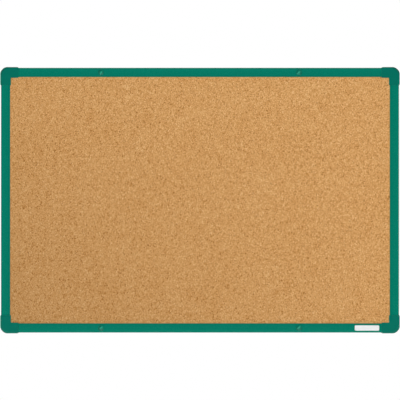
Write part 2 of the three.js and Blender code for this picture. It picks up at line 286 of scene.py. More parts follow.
class Socket:
    """The output of a node, which can be used in sums"""

    def __init__(self, graph, output):
        self.graph = graph
        self.output = output

    def __add__(self, other):
        return self.graph.math("ADD", self, other)

    def __radd__(self, other):
        return self.graph.math("ADD", other, self)

    def __sub__(self, other):
        return self.graph.math("SUBTRACT", self, other)

    def __rsub__(self, other):
        return self.graph.math("SUBTRACT", other, self)

    def __mul__(self, other):
        return self.graph.math("MULTIPLY", self, other)

    def __rmul__(self, other):
        return self.graph.math("MULTIPLY", other, self)

    def __truediv__(self, other):
        return self.graph.math("DIVIDE", self, other)

    def __rtruediv__(self, other):
        return self.graph.math("DIVIDE", other, self)

    def __neg__(self):
        return self.graph.math("MULTIPLY", self, -1)

    def __gt__(self, other):
        return self.graph.math("GREATER_THAN", self, other)


class Outputs:
    """A node's outputs, by name or number"""

    def __init__(self, graph, node):
        self.graph = graph
        self.node = node

    def __getitem__(self, key):
        return Socket(self.graph, self.node.outputs[key])


class Graph:
    """Builds one node tree, for a material, the world or geometry"""

    def __init__(self, tree):
        self.tree = tree

    def node(self, kind, settings=None, sockets=None):
        """Adds a node: first its settings, then the values or links of its sockets"""
        node = self.tree.nodes.new(kind)
        for name, value in (settings or {}).items():
            if name == "stops":
                self.set_stops(node.color_ramp, value)
            else:
                setattr(node, name, value)
        for key, value in (sockets or {}).items():
            self.feed(node.inputs[key], value)
        return Outputs(self, node)

    def set_stops(self, ramp, stops):
        """Fills a colour ramp with (place, colour) pairs"""
        while len(ramp.elements) > 1:
            ramp.elements.remove(ramp.elements[-1])
        for i, (place, tint) in enumerate(stops):
            stop = ramp.elements[0] if i == 0 else ramp.elements.new(place)
            stop.position = place
            stop.color = (*tint, 1)

    def feed(self, target, value):
        """Links a socket to another, to several others, or sets its value"""
        for item in value if isinstance(value, list) else [value]:
            if isinstance(item, Socket):
                self.tree.links.new(item.output, target)
            elif hasattr(item, "__len__") and len(item) == 3 and target.type == "RGBA":
                target.default_value = (*item, 1)
            else:
                target.default_value = item

    def math(self, operation, *values):
        """A sum of numbers"""
        return self.node("ShaderNodeMath", {"operation": operation}, dict(enumerate(values)))[0]

    def between(self, factor, first, second):
        """Two numbers mixed"""
        sockets = {0: factor, 2: first, 3: second}
        return self.node("ShaderNodeMix", {"data_type": "FLOAT"}, sockets)[0]

    def smooth_step(self, value, low, high):
        """0 below low, 1 above high, and smooth between them"""
        sockets = {"Value": value, "From Min": low, "From Max": high}
        return self.node("ShaderNodeMapRange", {"interpolation_type": "SMOOTHSTEP"}, sockets)[0]

    def noise(self, place, size, detail=2, roughness=0.5, output="Fac"):
        """Cloudy noise whose lumps have about the size given"""
        sockets = {"Vector": place, "Scale": 1 / size, "Detail": detail, "Roughness": roughness}
        return self.node("ShaderNodeTexNoise", None, sockets)[output]

    def cells(self, place, size, feature="F1"):
        """Random cells of about the size given"""
        sockets = {"Vector": place, "Scale": 1 / size}
        return self.node("ShaderNodeTexVoronoi", {"feature": feature}, sockets)

    def parts(self, vector):
        """The three numbers of a vector or a colour"""
        made = self.node("ShaderNodeSeparateXYZ", None, {"Vector": vector})
        return [made[i] for i in range(3)]


class Finish(Graph):
    """A material, built round one Principled shader"""

    def __init__(self, name):
        self.material = bpy.data.materials.new(name)
        self.material.use_nodes = True
        super().__init__(self.material.node_tree)
        self.shader = self.tree.nodes["Principled BSDF"]
        self.place = self.node("ShaderNodeTexCoord")["Object"]

    def set(self, **sockets):
        """Feeds the shader's sockets, whose names are written with underscores"""
        for name, value in sockets.items():
            self.feed(self.shader.inputs[name.replace("_", " ")], value)
        return self.material

    def vary(self, size, **more):
        """Noise over the whole piece"""
        return self.noise(self.place, size, **more)

    def vector(self, operation, *values):
        """A sum of vectors"""
        sockets = dict(enumerate(values))
        return self.node("ShaderNodeVectorMath", {"operation": operation}, sockets)["Vector"]

    def scaled(self, vector, factor):
        """A vector or a colour times a number"""
        sockets = {0: vector, "Scale": factor}
        return self.node("ShaderNodeVectorMath", {"operation": "SCALE"}, sockets)["Vector"]

    def turned(self, place, turn, stretch):
        """A place that makes a pattern longer along Z, and then leans it about Y"""
        sockets = {"Vector": place, "Rotation": (0, turn, 0), "Scale": (1, 1, stretch)}
        return self.node("ShaderNodeMapping", {"vector_type": "TEXTURE"}, sockets)["Vector"]

    def blend(self, factor, first, second):
        """Two colours mixed"""
        sockets = {0: factor, 6: first, 7: second}
        return self.node("ShaderNodeMix", {"data_type": "RGBA"}, sockets)[2]

    def ramp(self, factor, *stops):
        """Colours picked by a number, from (place, colour) pairs"""
        return self.node("ShaderNodeValToRGB", {"stops": stops}, {"Fac": factor})["Color"]

    def bump(self, height, depth, strength, under=None):
        """Bumps of a real depth, in metres, on top of others if any are given"""
        sockets = {"Height": height, "Distance": depth, "Strength": strength}
        if under is not None:
            sockets["Normal"] = under
        return self.node("ShaderNodeBump", None, sockets)["Normal"]


class Shape(Graph):
    """A geometry tree, with an input for each of its measures"""

    kinds = {int: "Int", bpy.types.Material: "Material", bpy.types.Mesh: "Geometry"}

    def __init__(self, name, measures):
        super().__init__(bpy.data.node_groups.new(name, "GeometryNodeTree"))
        self.keys = {key: self.add_input(key, value) for key, value in measures.items()}
        self.tree.interface.new_socket(
            name="Geometry", in_out="OUTPUT", socket_type="NodeSocketGeometry"
        )
        made = self.node("NodeGroupInput")
        self.size = SimpleNamespace(**{key: made[i] for i, key in enumerate(measures)})

    def add_input(self, key, value):
        """Names an input after a measure, and gives the identifier that sets it"""
        fitting = [name for kind, name in self.kinds.items() if isinstance(value, kind)]
        name = key.replace("_", " ").capitalize()
        kind = f"NodeSocket{fitting[0] if fitting else 'Float'}"
        return self.tree.interface.new_socket(
            name=name, in_out="INPUT", socket_type=kind
        ).identifier

    def grown(self, measures):
        """The mesh that the tree makes from the measures, on the points if any are given"""
        name = self.tree.name
        piece = add_object(name, measures.get("points") or bpy.data.meshes.new(name))
        modifier = piece.modifiers.new(name, "NODES")
        modifier.node_group = self.tree
        for key, value in measures.items():
            if key != "points":
                modifier[self.keys[key]] = value
        mesh = settled(piece)
        discard(piece)
        return mesh

    def finish(self, geometry):
        """Ends the tree with real meshes and their material"""
        sockets = {"Geometry": self.realized(geometry), "Material": self.size.finish}
        dressed = self.node("GeometryNodeSetMaterial", None, sockets)["Geometry"]
        self.node("NodeGroupOutput", None, {0: dressed})
        return self

    def realized(self, geometry):
        """Instances turned into meshes"""
        return self.node("GeometryNodeRealizeInstances", None, {"Geometry": geometry})["Geometry"]

    def on_points(self, points, instance, turn=(0, 0, 0)):
        """An instance at each point"""
        sockets = {"Points": points, "Instance": instance, "Rotation": turn}
        return self.node("GeometryNodeInstanceOnPoints", None, sockets)["Instances"]

    def point(self, x=0, y=0, z=0):
        """A place, or a size along each axis"""
        return self.node("ShaderNodeCombineXYZ", None, {"X": x, "Y": y, "Z": z})["Vector"]

    def moved(self, geometry, **sockets):
        """Geometry after a translation or a rotation"""
        sockets = {"Geometry": geometry, **sockets}
        return self.node("GeometryNodeTransform", None, sockets)["Geometry"]

    def reshaped(self, geometry, **sockets):
        """Geometry whose points are moved one by one"""
        sockets = {"Geometry": geometry, **sockets}
        return self.node("GeometryNodeSetPosition", None, sockets)["Geometry"]

    def merged(self, geometry):
        """Geometry whose points that touch are one"""
        sockets = {"Geometry": geometry, "Distance": SEAM}
        return self.node("GeometryNodeMergeByDistance", None, sockets)["Geometry"]

    def grid(self, width, height, across, up):
        """A flat grid of points in X and Y"""
        sockets = {"Size X": width, "Size Y": height, "Vertices X": across, "Vertices Y": up}
        return self.node("GeometryNodeMeshGrid", None, sockets)["Mesh"]

    def box(self, x, y, z):
        """A box round the origin"""
        return self.node("GeometryNodeMeshCube", None, {"Size": self.point(x, y, z)})["Mesh"]

    def cut(self, solid, tools, crossing=False):
        """A solid with tools cut out of it, which may cross each other"""
        sockets = {"Mesh 1": solid, "Mesh 2": tools, "Self Intersection": crossing}
        ways = {"operation": "DIFFERENCE", "solver": "EXACT"}
        return self.node("GeometryNodeMeshBoolean", ways, sockets)["Mesh"]


# Meshes


def add_object(name, mesh):
    """An object at the origin, in the scene"""
    piece = bpy.data.objects.new(name, mesh)
    bpy.context.scene.collection.objects.link(piece)
    return piece


def discard(*objects):
    """Removes objects and their meshes"""
    for item in objects:
        mesh = item.data
        bpy.data.objects.remove(item)
        if mesh.users == 0:
            bpy.data.meshes.remove(mesh)


def settled(piece):
    """The object's mesh, with its modifiers in it"""
    graph = bpy.context.evaluated_depsgraph_get()
    return bpy.data.meshes.new_from_object(piece.evaluated_get(graph))


def to_mesh(name, bm):
    """A closed bmesh as a mesh, with its faces pointing out"""
    bmesh.ops.remove_doubles(bm, verts=bm.verts, dist=WELD)
    bmesh.ops.recalc_face_normals(bm, faces=bm.faces)
    mesh = bpy.data.meshes.new(name)
    bm.to_mesh(mesh)
    bm.free()
    return mesh


def arc(middle, radius, start, end, steps):
    """Points on an arc in a plane, with its angles in quarter turns"""
    angles = [math.pi / 2 * (start + (end - start) * i / steps) for i in range(steps + 1)]
    return [(middle[0] + radius * math.cos(a), middle[1] + radius * math.sin(a)) for a in angles]


def stretched(near, far):
    """A bmesh between two outlines with as many points, and its two end faces"""
    bm = bmesh.new()
    ends = [[bm.verts.new(point) for point in outline] for outline in (near, far)]
    caps = [bm.faces.new(end) for end in ends]
    for i in range(len(near)):
        after = (i + 1) % len(near)
        bm.faces.new((ends[0][i], ends[0][after], ends[1][after], ends[1][i]))
    bmesh.ops.recalc_face_normals(bm, faces=bm.faces)
    return bm, caps


def prism(outline, near, far, rounding=0.0, steps=4):
    """An outline in X and Z, made solid from one depth to another, with its edges rounded"""
    bm, caps = stretched(*[[(x, y, z) for x, z in outline] for y in (near, far)])
    if rounding:
        rims = [edge for cap in caps for edge in cap.edges]
        bmesh.ops.bevel(
            bm, geom=rims, offset=rounding, segments=steps, profile=0.5, affect="EDGES"
        )
    return to_mesh("prism", bm)


def block(low, high):
    """A box between two corners, as a tool for cutting and joining"""
    bm = bmesh.new()
    bmesh.ops.create_cube(bm, size=1)
    size = Vector(high) - Vector(low)
    middle = (Vector(high) + Vector(low)) / 2
    bm.transform(Matrix.Translation(middle) @ Matrix.Diagonal((*size, 1)))
    return to_mesh("block", bm)


def lathe(profile, sides):
    """A profile of (radius, y) points, from axis to axis, turned about Y"""
    bm = bmesh.new()
    rings = []
    for radius, y in profile:
        angles = [math.tau * i / sides for i in range(sides if radius > 0 else 1)]
        rings.append([bm.verts.new((radius * math.cos(a), y, radius * math.sin(a))) for a in angles])
    for one, two in zip(rings, rings[1:]):
        for i in range(sides):
            after = (i + 1) % sides
            near = [one[i % len(one)], one[after % len(one)]]
            far = [two[after % len(two)], two[i % len(two)]]
            bm.faces.new(list(dict.fromkeys(near + far)))
    return to_mesh("lathe", bm)


def combined(operation, mesh, *tools):
    """A mesh joined with others, cut by them or trimmed to them"""
    base = add_object("base", mesh)
    helpers = [add_object("tool", tool) for tool in tools]
    for helper in helpers:
        step = base.modifiers.new("step", "BOOLEAN")
        step.solver = "EXACT"
        step.operation = operation
        step.object = helper
    result = settled(base)
    discard(base, *helpers)
    bm = bmesh.new()
    bm.from_mesh(result)
    bmesh.ops.dissolve_degenerate(bm, edges=bm.edges, dist=WELD)
    bm.to_mesh(result)
    bm.free()
    return result


def spread(mesh, matrices):
    """Copies of a mesh, one for each place, in its stead"""
    copies = []
    for matrix in matrices:
        copy = mesh.copy()
        copy.transform(matrix)
        copies.append(copy)
    bpy.data.meshes.remove(mesh)
    return copies


def shift(x, y, z):
    """A move along each axis"""
    return Matrix.Translation((x, y, z))


def quarter_turns(number):
    """A turn about Y that takes the bottom of the board to the left, the top or the right"""
    return Matrix.Rotation(math.pi / 2 * number, 4, "Y")


def smooth(mesh, limit=math.radians(32)):
    """Shades a mesh smooth, apart from edges sharper than the limit"""
    bm = bmesh.new()
    bm.from_mesh(mesh)
    for face in bm.faces:
        face.smooth = True
    for edge in bm.edges:
        edge.smooth = edge.calc_face_angle(math.pi) < limit
    bm.to_mesh(mesh)
    bm.free()


def add_piece(name, mesh, material, body, nodes, soften=True):
    """A finished piece that stands for CAD nodes and rides on their body"""
    mesh.name = name
    mesh.materials.clear()
    mesh.materials.append(material)
    piece = add_object(name, mesh)
    if soften:
        smooth(mesh)
        weighted = piece.modifiers.new("weighted normals", "WEIGHTED_NORMAL")
        weighted.keep_sharp = True
    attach(piece, body)
    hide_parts(*nodes)
    return piece


def dress_node(node, material):
    """Gives a CAD node that stays its material"""
    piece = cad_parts[node]
    piece.data.materials.clear()
    piece.data.materials.append(material)


# Places in the frame


def groove_rear():
    """The plane of the rear side of the rails' grooves"""
    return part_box("hardboard_back")[1].y + settings().rail.panel_play


def centre(node):
    """The middle of a CAD node's box"""
    low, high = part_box(node)
    return (low + high) / 2


# Materials


def cork_finish():
    """Pressed cork granules, with chips of bark and small pits, and painted light that darkens the
    cork towards the bottom left
    """
    look = Finish("pressed_cork")
    sizes = settings().cork
    tints = settings().colours
    chip_core, chip_edge, chip_cover = 0.3, 0.45, 0.65
    pit_core, pit_edge, pit_cover, pit_rarity = 0.2, 0.34, 0.7, 0.74
    light_falloff_across, light_falloff_down, light_falloff_both = 0.085, 0.055, 0.13
    seam_width = 0.09

    ripple = look.vary(sizes.ripple, detail=3, output="Color")
    ripple = look.vector("SUBTRACT", ripple, (0.5, 0.5, 0.5))
    place = look.vector("ADD", look.place, look.scaled(ripple, sizes.ripple_reach))
    upright = look.turned(place, turn=0.12, stretch=1.42)

    granule = look.cells(upright, sizes.coarse)
    crumb = look.cells(upright, sizes.fine)
    dust = look.noise(place, sizes.dust, detail=3, roughness=0.7)
    tone = (
        look.parts(granule["Color"])[0] * 0.26
        + look.parts(crumb["Color"])[1] * 0.71
        - granule["Distance"] * 0.4
        + dust * 0.38
        + look.vary(sizes.patch) * 0.13
        - 0.04
    )
    tinted = look.ramp(
        tone,
        (0.0, tints.cork_dark),
        (0.16, tints.cork_low),
        (0.5, tints.cork_mean),
        (0.84, tints.cork_high),
        (1.0, tints.cork_pale),
    )

    raised = 0
    for turn, stretch, tint, rarity in (
        (0.5, 2.8, tints.cork_dark, 0.95),
        (-0.35, 2.4, tints.cork_low, 0.9),
        (0.1, 2.6, tints.cork_pale, 0.94),
        (1.2, 2.2, tints.cork_high, 0.9),
    ):
        chip = look.cells(look.turned(place, turn, stretch), sizes.chip)
        rare = look.parts(chip["Color"])[2] > rarity
        mask = rare * (1 - look.smooth_step(chip["Distance"], chip_core, chip_edge))
        tinted = look.blend(mask * chip_cover, tinted, tint)
        raised = mask + raised

    pit = look.cells(look.turned(place, turn=0.7, stretch=1.5), sizes.pit)
    rare = look.parts(pit["Color"])[0] > pit_rarity
    pits = rare * (1 - look.smooth_step(pit["Distance"] + dust * 0.3, pit_core, pit_edge))
    # The pits are sunk in the bump and painted dark: painted shade in the hollows
    tinted = look.blend(pits * pit_cover, tinted, tints.cork_dark)

    low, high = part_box("cork_facing")
    x, _, z = look.parts(look.place)
    across = (high.x - x) / (high.x - low.x)
    down = (high.z - z) / (high.z - low.z)
    # Painted light: the colour darkens towards the bottom left, as light that falls off from the top
    # right
    painted_light_falloff = 1 - across * light_falloff_across - down * light_falloff_down - across * down * light_falloff_both

    seams = look.cells(upright, sizes.coarse, feature="DISTANCE_TO_EDGE")["Distance"]
    joints = look.smooth_step(seams, 0.0, seam_width)
    relief = joints * 0.5 + tone * 0.3 + dust * 0.3 - pits * 1.2 + raised * 0.2
    return look.set(
        Base_Color=look.scaled(tinted, painted_light_falloff),
        Roughness=0.78 + dust * 0.2,
        Specular_IOR_Level=0.25,
        Normal=look.bump(relief, depth=sizes.relief, strength=0.75),
    )


def rail_finish():
    """Green powder coat with a faint orange peel, and painted shade that darkens it towards the cork
    """
    look = Finish("green_powder_coat")
    cloud = look.vary(size=60 * MM)
    speck = look.vary(size=0.9 * MM)
    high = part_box("corner_top_right")[1]
    x, _, z = look.parts(look.place)
    from_side = high.x - look.math("ABSOLUTE", x)
    from_end = high.z - look.math("ABSOLUTE", z)
    inward = look.math("MINIMUM", from_side, from_end) / RAIL_FACE
    peel = look.vary(size=1.6 * MM, roughness=0.45)
    pores = look.vary(size=0.35 * MM, detail=1)
    waves = look.bump(peel, depth=0.02 * MM, strength=0.5)
    # Painted shade: the inward term darkens the coat towards the cork
    shade = 1.03 + cloud * 0.04 + speck * 0.02 - inward * 0.15
    return look.set(
        Base_Color=look.scaled(settings().colours.rail, shade),
        Roughness=0.22 + peel * 0.1,
        Specular_IOR_Level=0.12,
        Normal=look.bump(pores, depth=0.008 * MM, strength=0.4, under=waves),
    )


def corner_finish():
    """Green plastic, moulded with a fine grain"""
    look = Finish("moulded_green_plastic")
    flow = look.vary(size=14 * MM)
    grain = look.vary(size=0.5 * MM, detail=3, roughness=0.6)
    scuff = look.vary(size=5 * MM, detail=4, roughness=0.65)
    return look.set(
        Base_Color=look.scaled(settings().colours.corner, 0.96 + flow * 0.08),
        Roughness=0.24 + scuff * 0.12,
        Specular_IOR_Level=0.12,
        Normal=look.bump(grain, depth=0.02 * MM, strength=0.45),
    )


def plug_finish():
    """Glossy green plastic"""
    look = Finish("glossy_green_plastic")
    flow = look.vary(size=4 * MM)
    ripple = look.vary(size=1.2 * MM)
    return look.set(
        Base_Color=look.scaled(settings().colours.plug, 0.97 + flow * 0.06),
        Roughness=0.14 + ripple * 0.06,
        Specular_IOR_Level=0.4,
        Normal=look.bump(ripple, depth=0.01 * MM, strength=0.3),
    )


def badge_finish():
    """White glossy plastic"""
    look = Finish("white_plastic")
    cloud = look.vary(size=9 * MM, detail=3)
    ripple = look.vary(size=1.5 * MM)
    return look.set(
        Base_Color=look.scaled(settings().colours.badge, 0.975 + cloud * 0.03),
        Roughness=0.22 + ripple * 0.08,
        Specular_IOR_Level=0.4,
        Normal=look.bump(ripple, depth=0.008 * MM, strength=0.3),
    )


def zinc_finish():
    """Zinc plating, turned and slightly clouded"""
    look = Finish("zinc_plating")
    cloud = look.vary(size=1.1 * MM, detail=3)
    scratch = look.vary(size=0.25 * MM)
    passivated = look.smooth_step(cloud, 0.45, 0.7) * 0.35
    return look.set(
        Base_Color=look.blend(passivated, settings().colours.zinc, (0.62, 0.56, 0.36)),
        Metallic=1.0,
        Roughness=0.26 + cloud * 0.2,
        Normal=look.bump(scratch, depth=0.01 * MM, strength=0.4),
    )


def softboard_finish():
    """Soft fibreboard: pressed wood fibres"""
    look = Finish("soft_fibreboard")
    clump = look.vary(size=6 * MM, detail=4, roughness=0.65)
    lying = look.turned(look.place, turn=0.9, stretch=6)
    strand = look.noise(lying, size=0.5 * MM, detail=3)
    shade = 0.72 + clump * 0.35 + strand * 0.25
    return look.set(
        Base_Color=look.scaled(settings().colours.softboard, shade),
        Roughness=0.95,
        Specular_IOR_Level=0.2,
        Normal=look.bump(strand + clump, depth=0.25 * MM, strength=0.7),
    )


def hardboard_finish():
    """Brown hardboard, with the print of the press's wire screen"""
    look = Finish("screen_back_hardboard")
    x, _, z = look.parts(look.place)
    wires = math.tau / (1.5 * MM)
    screen_print = look.math("SINE", x * wires) * look.math("SINE", z * wires)
    fibre = look.vary(size=2.4 * MM, detail=5, roughness=0.7)
    cloud = look.vary(size=70 * MM, detail=3)
    fleck = look.smooth_step(look.vary(size=1.3 * MM), 0.66, 0.74)
    shade = 0.72 + fibre * 0.3 + cloud * 0.25 + screen_print * 0.16
    board = look.scaled(settings().colours.hardboard, shade)
    relief = screen_print * 0.5 + fibre * 0.5
    return look.set(
        Base_Color=look.blend(fleck * 0.5, board, (0.05, 0.024, 0.012)),
        Roughness=0.62 + fibre * 0.2,
        Specular_IOR_Level=0.35,
        Normal=look.bump(relief, depth=0.22 * MM, strength=0.9),
    )


def floor_finish():
    """A plain pale floor"""
    look = Finish("pale_floor")
    cloud = look.vary(size=400 * MM)
    return look.set(
        Base_Color=look.scaled((0.93, 0.93, 0.925), 0.985 + cloud * 0.02),
        Roughness=0.75,
        Specular_IOR_Level=0.2,
    )


# Operators


class NOTICEBOARD_OT_stage(bpy.types.Operator):
    """Set up the camera, the lights, the world and the floor"""

    bl_idname = "notice_board.stage"
    bl_label = "Stage"

    def execute(self, context):
        scene = context.scene
        scene.view_settings.view_transform = "Standard"
        scene.view_settings.look = "None"
        self.add_camera(scene)
        self.add_world(scene)
        self.add_lights()
        self.add_floor()
        return {"FINISHED"}

    def add_camera(self, scene):
        """A long lens, straight in front, that frames the board as the photograph does"""
        sizes = settings().stage
        low, high = frame_bounds
        pixel = (high.x - low.x) / (sizes.right_pixel - sizes.left_pixel)
        middle = sizes.photo_pixels / 2
        data = bpy.data.cameras.new("camera")
        data.lens = sizes.lens
        half_view = math.atan(data.sensor_width / 2 / data.lens)
        distance = pixel * sizes.photo_pixels / 2 / math.tan(half_view)
        camera = bpy.data.objects.new("camera", data)
        camera.location = (
            (middle - (sizes.left_pixel + sizes.right_pixel) / 2) * pixel,
            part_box("corner_top_left")[0].y - distance,
            (sizes.centre_pixel - middle) * pixel,
        )
        camera.rotation_euler = (math.pi / 2, 0, 0)
        scene.collection.objects.link(camera)
        scene.camera = camera

    def add_world(self, scene):
        """White to the camera, and for light a pale studio with a dim side behind the camera"""
        pale_glow, dim_glow = 0.24, 0.03
        pale_until, dim_from = 0.15, 0.8
        world = bpy.data.worlds.new("studio")
        world.use_nodes = True
        world.node_tree.nodes.clear()
        sky = Graph(world.node_tree)
        facing = sky.parts(sky.node("ShaderNodeTexCoord")["Generated"])[1]
        glow = sky.between(sky.smooth_step(-facing, pale_until, dim_from), pale_glow, dim_glow)
        to_camera = sky.node("ShaderNodeLightPath")["Is Camera Ray"]
        sockets = {"Color": (1, 1, 1), "Strength": sky.between(to_camera, glow, 1.0)}
        shade = sky.node("ShaderNodeBackground", None, sockets)["Background"]
        sky.node("ShaderNodeOutputWorld", None, {"Surface": shade})
        scene.world = world

    def add_lights(self):
        """Soft boxes in front, on both sides, above and behind, and a far one for the plugs"""
        for name, place, side, power, mirrored in (
            ("key_soft_box", (0, -4.4, 0.3), 1.7, 119, False),
            ("left_soft_box", (-2.3, -2.2, 0.9), 2.6, 5, True),
            ("right_soft_box", (2.3, -2.2, 0.9), 2.6, 5, True),
            ("top_soft_box", (0, -1.6, 2.5), 1.8, 4, True),
            ("overhead_soft_box", (0, 2.2, 2.3), 3.0, 44, True),
            ("rear_left_soft_box", (-1.2, 2.8, 0.9), 1.5, 27, False),
            ("rear_right_soft_box", (1.2, 2.8, 0.9), 1.5, 27, False),
        ):
            lamp = self.add_soft_box(name, place, power, width=side, height=side)
            lamp.visible_glossy = mirrored
        far = (0.1, -12, 0.1)
        glint = self.add_soft_box("plug_soft_box", far, power=890, width=11.5, height=4.2, roll=40)
        glint.data.color = (0.12, 1, 0.65)
        glint.visible_diffuse = False
        self.light_only(glint, "plugs")

    def light_only(self, lamp, name):
        """Keeps a light for the pieces in one collection"""
        pieces = bpy.data.collections.new(name)
        lamp.light_linking.receiver_collection = pieces
        return pieces

    def add_soft_box(self, name, place, power, width, height, roll=0):
        """An area light that points at the board's centre, rolled by some degrees"""
        data = bpy.data.lights.new(name, "AREA")
        data.shape = "RECTANGLE"
        data.size = width
        data.size_y = height
        data.energy = power
        lamp = bpy.data.objects.new(name, data)
        aim = (-Vector(place)).to_track_quat("-Z", "Y").to_matrix().to_4x4()
        rolled = aim @ Matrix.Rotation(math.radians(roll), 4, "Z")
        lamp.matrix_world = Matrix.Translation(place) @ rolled
        lamp.visible_camera = False
        bpy.context.scene.collection.objects.link(lamp)
        return lamp

    def add_floor(self):
        """A wide sheet under the board, with a light of its own"""
        sizes = settings().stage
        half = sizes.floor_size / 2
        outline = ((half, half), (-half, half), (-half, -half), (half, -half))
        bm = bmesh.new()
        bm.faces.new([bm.verts.new((x, y, -sizes.floor_drop)) for x, y in outline])
        mesh = bpy.data.meshes.new("floor")
        bm.to_mesh(mesh)
        bm.free()
        mesh.materials.append(floor_finish())
        floor = add_object("floor", mesh)
        lamp = self.add_soft_box("floor_soft_box", (0, 4, 3), power=60, width=4, height=4)
        self.light_only(lamp, "floor").objects.link(floor)


class NOTICEBOARD_OT_cork_sheet(bpy.types.Operator):
    """Make the cork sheet, with its uneven face"""

    bl_idname = "notice_board.cork_sheet"
    bl_label = "Cork sheet"

    def execute(self, context):
        sizes = settings().cork
        finish = cork_finish()
        low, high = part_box("cork_facing")
        width, thickness, height = high - low
        measures = {
            "width": width,
            "height": height,
            "thickness": thickness,
            "points_across": round(width / sizes.spacing) + 1,
            "points_up": round(height / sizes.spacing) + 1,
            **picked(sizes, "coarse", "relief", "wave", "wave_depth", "border"),
            "finish": finish,
        }
        mesh = self.sheet(measures).grown(measures)
        upright = Matrix.Rotation(math.pi / 2, 4, "X")
        mesh.transform(shift((low.x + high.x) / 2, high.y, (low.z + high.z) / 2) @ upright)
        add_piece("cork_sheet", mesh, finish, "board", ["cork_facing"], soften=False)
        return {"FINISHED"}

    def sheet(self, measures):
        """A grid with granules sunk into it, given a thickness and a flat back"""
        shape = Shape("Cork sheet", measures)
        size = shape.size
        grid = shape.grid(size.width, size.height, size.points_across, size.points_up)
        sockets = {"Mesh": grid, "Offset Scale": size.thickness, "Individual": False}
        raised = shape.node("GeometryNodeExtrudeMesh", {"mode": "FACES"}, sockets)
        place = shape.node("GeometryNodeInputPosition")["Position"]
        down = shape.point(z=-self.depth(shape, place))
        top = raised["Top"]
        uneven = shape.reshaped(raised["Mesh"], Selection=top, Offset=down)
        sockets = {"Geometry": [uneven, self.back(shape, raised["Mesh"])]}
        whole = shape.node("GeometryNodeJoinGeometry", None, sockets)["Geometry"]
        sockets = {"Geometry": shape.merged(whole), "Shade Smooth": True, "Selection": top}
        shaded = shape.node("GeometryNodeSetShadeSmooth", None, sockets)["Geometry"]
        return shape.finish(shaded)

    def back(self, shape, raised):
        """One flat face in the opening that the raised grid has at its rear"""
        faces_round = shape.node("GeometryNodeInputMeshEdgeNeighbors")["Face Count"]
        compare = {"data_type": "INT", "operation": "EQUAL"}
        on_rim = shape.node("FunctionNodeCompare", compare, {2: faces_round, 3: 1})["Result"]
        sockets = {"Mesh": raised, "Selection": on_rim}
        rim = shape.node("GeometryNodeMeshToCurve", None, sockets)["Curve"]
        lid = shape.node("GeometryNodeFillCurve", {"mode": "NGONS"}, {"Curve": rim})["Mesh"]
        return shape.node("GeometryNodeFlipFaces", None, {"Mesh": lid})["Mesh"]

    def depth(self, shape, place):
        """How far the face lies below its highest points, which is nothing at the border"""
        flat_until, uneven_from = 0.6, 1.4
        size = shape.size
        x, y, _ = shape.parts(place)
        from_side = size.width / 2 - shape.math("ABSOLUTE", x)
        from_end = size.height / 2 - shape.math("ABSOLUTE", y)
        nearest = shape.math("MINIMUM", from_side, from_end)
        inside = shape.smooth_step(nearest / size.border, flat_until, uneven_from)
        sunk = shape.parts(shape.cells(place, size.coarse)["Color"])[0] * size.relief
        return inside * (sunk + shape.noise(place, size.wave) * size.wave_depth)


class NOTICEBOARD_OT_panel_backing(bpy.types.Operator):
    """Finish the fibreboard core and the hardboard behind it"""

    bl_idname = "notice_board.panel_backing"
    bl_label = "Panel backing"

    def execute(self, context):
        dress_node("fibre_core", softboard_finish())
        dress_node("hardboard_back", hardboard_finish())
        return {"FINISHED"}


